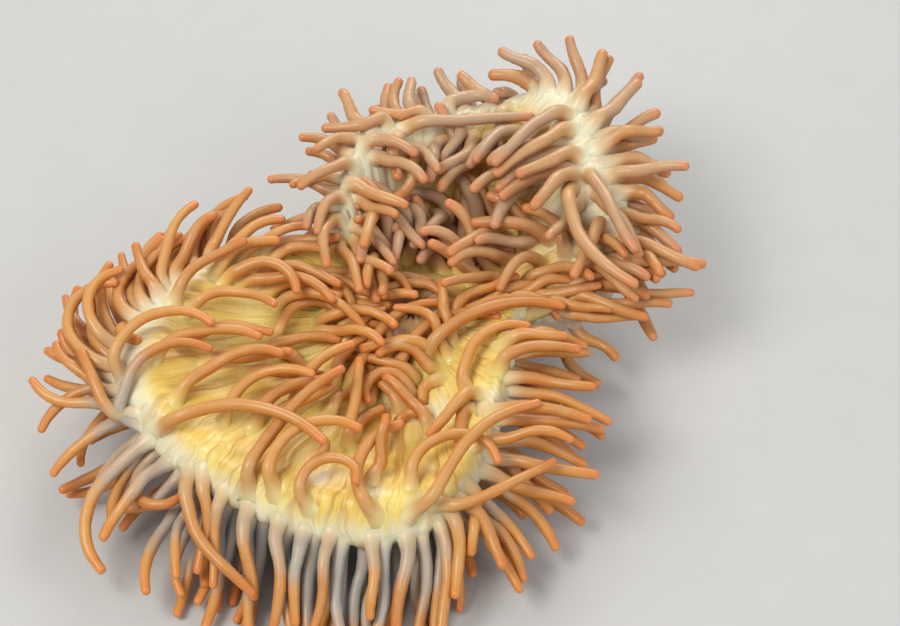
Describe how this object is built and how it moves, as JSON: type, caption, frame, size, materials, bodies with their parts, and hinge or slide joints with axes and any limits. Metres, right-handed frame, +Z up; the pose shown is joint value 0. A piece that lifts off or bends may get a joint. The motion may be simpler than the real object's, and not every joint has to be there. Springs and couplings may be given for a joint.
{
  "type": "sea anemone",
  "caption": "Life-size model of a magnificent sea anemone: a short column with a deeply folded oral disc, fringed with blunt finger-like tentacles.",
  "frame": {"origin": "middle of the pedal disc, on the floor it rests on", "axes": "+Z up, through the column; -Y towards the viewer and the hanging front lobe; +X to the viewer's right"},
  "size_m": [0.3292, 0.3384, 0.1051],
  "materials": {
    "foot": "moist leathery skin, dull mauve",
    "column": "moist smooth skin with rows of paler warts",
    "disc": "moist skin, pale yellow with fine brown streaks",
    "lips": "moist skin, cream to light brown",
    "inner_tentacles": "moist translucent skin, orange tan",
    "outer_tentacles": "moist translucent skin, orange tan with greyish bases"
  },
  "bodies": {
    "root": {"pedal_disc": "foot", "column": "column", "oral_disc": "disc", "mouth": "lips", "inner_crown_01": "inner_tentacles", "inner_crown_02": "inner_tentacles", "inner_crown_03": "inner_tentacles", "inner_crown_04": "inner_tentacles", "inner_crown_05": "inner_tentacles", "inner_crown_06": "inner_tentacles", "outer_crown_01": "outer_tentacles", "outer_crown_02": "outer_tentacles", "outer_crown_03": "outer_tentacles", "outer_crown_04": "outer_tentacles", "outer_crown_05": "outer_tentacles", "outer_crown_06": "outer_tentacles", "outer_crown_07": "outer_tentacles", "outer_crown_08": "outer_tentacles", "outer_crown_09": "outer_tentacles", "outer_crown_10": "outer_tentacles", "outer_crown_11": "outer_tentacles", "outer_crown_12": "outer_tentacles"}
  },
  "joints": []
}
